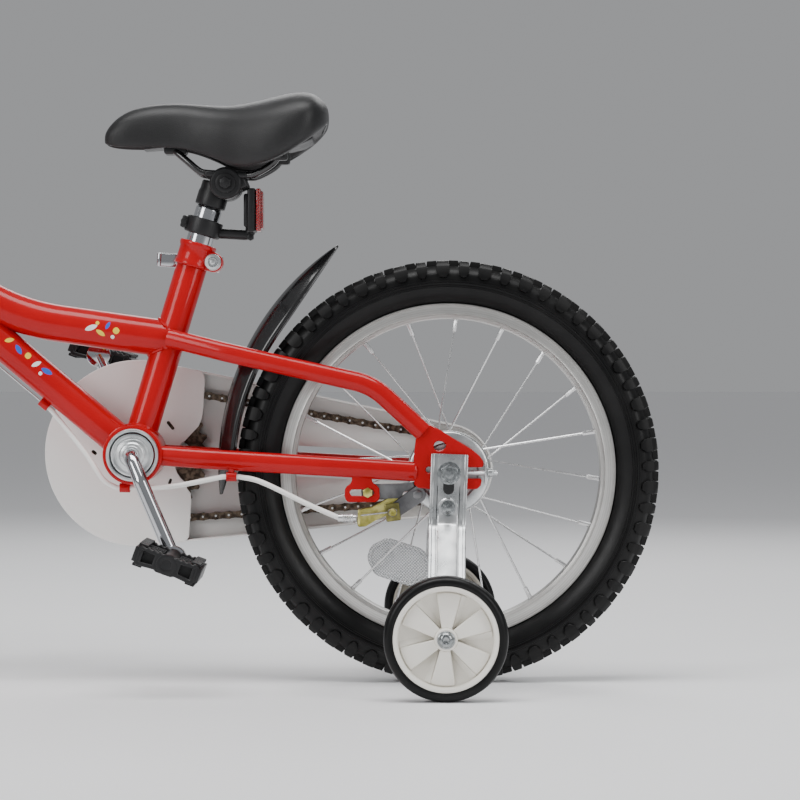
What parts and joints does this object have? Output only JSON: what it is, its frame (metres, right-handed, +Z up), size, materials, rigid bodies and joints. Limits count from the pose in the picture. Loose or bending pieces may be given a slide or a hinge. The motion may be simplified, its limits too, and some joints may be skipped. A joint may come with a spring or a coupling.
{
  "type": "kids bicycle with training wheels",
  "caption": "Kids bicycle with a low curved frame, one-piece crank, closed chain case, band brake and side training wheels.",
  "frame": {"origin": "on the ground, half way between the two axles and in the bike's middle plane", "axes": "-X is the way the bike faces, -Y its left side, +Z up"},
  "size_m": [1.146, 0.4856, 0.7332],
  "materials": {
    "red_paint": "gloss paint",
    "black_rubber": "matte",
    "alloy": "satin",
    "chrome": "polished",
    "zinc_plate": "zinc plated",
    "white_plastic": "satin",
    "black_plastic": "satin",
    "saddle_skin": "fine grain",
    "dark_steel": "oiled",
    "red_lens": "clear moulded",
    "clear_lens": "prismatic"
  },
  "bodies": {
    "frame": {"frame": "red_paint", "headset_cup_lower": "chrome", "headset_cup_upper": "chrome", "bottom_bracket_cup_left": "zinc_plate", "bottom_bracket_cup_right": "zinc_plate", "seat_clamp": "red_paint", "chain": "dark_steel", "chain_guard": "white_plastic", "chain_guard_inner_cover": "white_plastic", "rear_axle": "zinc_plate", "band_brake_housing": "zinc_plate", "rear_brake_cable": "white_plastic", "chain_adjuster_left": "zinc_plate", "chain_adjuster_right": "zinc_plate", "training_bracket_left": "zinc_plate", "training_bracket_right": "zinc_plate", "rear_mudguard": "black_plastic"},
    "steering": {"fork": "red_paint", "stem": "alloy", "handlebar": "black_plastic", "grip_left": "black_rubber", "grip_right": "black_rubber", "lever_bracket_left": "black_plastic", "lever_bracket_right": "black_plastic", "front_brake_cable": "black_rubber", "rear_brake_cable_loop": "black_rubber", "front_axle": "zinc_plate"},
    "front_wheel": {"front_tyre": "black_rubber", "front_rim": "alloy", "front_spokes_left": "chrome", "front_spokes_right": "chrome", "front_hub": "chrome"},
    "rear_wheel": {"rear_tyre": "black_rubber", "rear_rim": "alloy", "rear_spokes_left": "chrome", "rear_spokes_right": "chrome", "rear_hub": "zinc_plate", "spoke_reflector": "clear_lens"},
    "training_wheel_left": {"training_wheel_left": "white_plastic", "training_tyre_left": "black_rubber"},
    "training_wheel_right": {"training_wheel_right": "white_plastic", "training_tyre_right": "black_rubber"},
    "crank": {"crank": "chrome", "chainring": "dark_steel"},
    "pedal_left": {"pedal_left": "black_plastic"},
    "pedal_right": {"pedal_right": "black_plastic"},
    "freewheel": {"freewheel": "dark_steel"},
    "seat": {"seatpost": "chrome", "saddle_clamp": "black_plastic", "saddle_rails": "dark_steel", "saddle_base": "black_plastic", "saddle_pad": "saddle_skin", "rear_reflector_bracket": "black_plastic", "rear_reflector_lens": "red_lens"},
    "quick_release": {"quick_release_lever": "chrome"},
    "brake_lever_left": {"brake_lever_left": "alloy"},
    "brake_lever_right": {"brake_lever_right": "alloy"},
    "front_brake_arm_left": {"front_brake_arm_left": "alloy"},
    "front_brake_arm_right": {"front_brake_arm_right": "alloy"},
    "brake_arm": {"brake_arm": "dark_steel"}
  },
  "joints": [
    {"name": "steering_turn", "type": "hinge", "parent": "frame", "child": "steering", "pos_m": [-0.24408, 0, 0.44173], "axis": [0.3584, 0, 0.9336], "range_deg": [-75, 75], "deforming": ["rear_brake_cable_loop"]},
    {"name": "front_wheel_spin", "type": "hinge", "parent": "steering", "child": "front_wheel", "pos_m": [-0.37, 0, 0.203], "axis": [0, 1, 0], "continuous": true},
    {"name": "rear_wheel_spin", "type": "hinge", "parent": "frame", "child": "rear_wheel", "pos_m": [0.37, 0, 0.203], "axis": [0, 1, 0], "continuous": true},
    {"name": "training_wheel_left_spin", "type": "hinge", "parent": "frame", "child": "training_wheel_left", "pos_m": [0.3649, 0, 0.05709], "axis": [0, 1, 0], "continuous": true},
    {"name": "training_wheel_right_spin", "type": "hinge", "parent": "frame", "child": "training_wheel_right", "pos_m": [0.3649, 0, 0.05709], "axis": [0, 1, 0], "continuous": true},
    {"name": "crank_spin", "type": "hinge", "parent": "frame", "child": "crank", "pos_m": [0.06781, 0, 0.219], "axis": [0, 1, 0], "continuous": true},
    {"name": "pedal_left_spin", "type": "hinge", "parent": "crank", "child": "pedal_left", "pos_m": [0.11052, 0, 0.12308], "axis": [0, 1, 0], "continuous": true},
    {"name": "pedal_right_spin", "type": "hinge", "parent": "crank", "child": "pedal_right", "pos_m": [0.02511, 0, 0.31492], "axis": [0, 1, 0], "continuous": true},
    {"name": "freewheel_spin", "type": "hinge", "parent": "frame", "child": "freewheel", "pos_m": [0.37, 0, 0.203], "axis": [0, 1, 0], "continuous": true},
    {"name": "seat_height", "type": "slide", "parent": "frame", "child": "seat", "axis": [0.289, 0, 0.9573], "range_m": [-0.007, 0.095]},
    {"name": "quick_release_turn", "type": "hinge", "parent": "frame", "child": "quick_release", "pos_m": [0.14352, 0.0183, 0.40401], "axis": [-0.289, 0, -0.9573], "range_deg": [0, 150]},
    {"name": "brake_lever_left_pull", "type": "hinge", "parent": "steering", "child": "brake_lever_left", "pos_m": [-0.19549, -0.13133, 0.72082], "axis": [0.3582, 0.029, 0.9332], "range_deg": [0, 15], "stiffness_Nm_per_rad": 1.5, "springref_deg": -5.73},
    {"name": "brake_lever_right_pull", "type": "hinge", "parent": "steering", "child": "brake_lever_right", "pos_m": [-0.19549, 0.13133, 0.72082], "axis": [-0.3582, 0.029, -0.9332], "range_deg": [0, 15], "stiffness_Nm_per_rad": 1.5, "springref_deg": -5.73},
    {"name": "front_brake_arm_left_close", "type": "hinge", "parent": "steering", "child": "front_brake_arm_left", "pos_m": [-0.31264, -0.045, 0.32452], "axis": [-0.9336, 0, 0.3584], "range_deg": [0, 5], "deforming": ["front_brake_cable"]},
    {"name": "front_brake_arm_right_close", "type": "hinge", "parent": "steering", "child": "front_brake_arm_right", "pos_m": [-0.31264, 0.045, 0.32452], "axis": [0.9336, 0, -0.3584], "range_deg": [0, 5], "deforming": ["front_brake_cable"]},
    {"name": "brake_arm_pull", "type": "hinge", "parent": "frame", "child": "brake_arm", "pos_m": [0.3405, 0, 0.182], "axis": [0, 1, 0], "range_deg": [0, 20], "deforming": ["rear_brake_cable"]}
  ],
  "couplings": [
    {"joint": "freewheel_spin", "follows": "crank_spin", "ratio": 2.2},
    {"joint": "front_brake_arm_left_close", "follows": "brake_lever_left_pull", "ratio": 0.33333},
    {"joint": "front_brake_arm_right_close", "follows": "brake_lever_left_pull", "ratio": 0.33333},
    {"joint": "brake_arm_pull", "follows": "brake_lever_right_pull", "ratio": 1.3333}
  ]
}
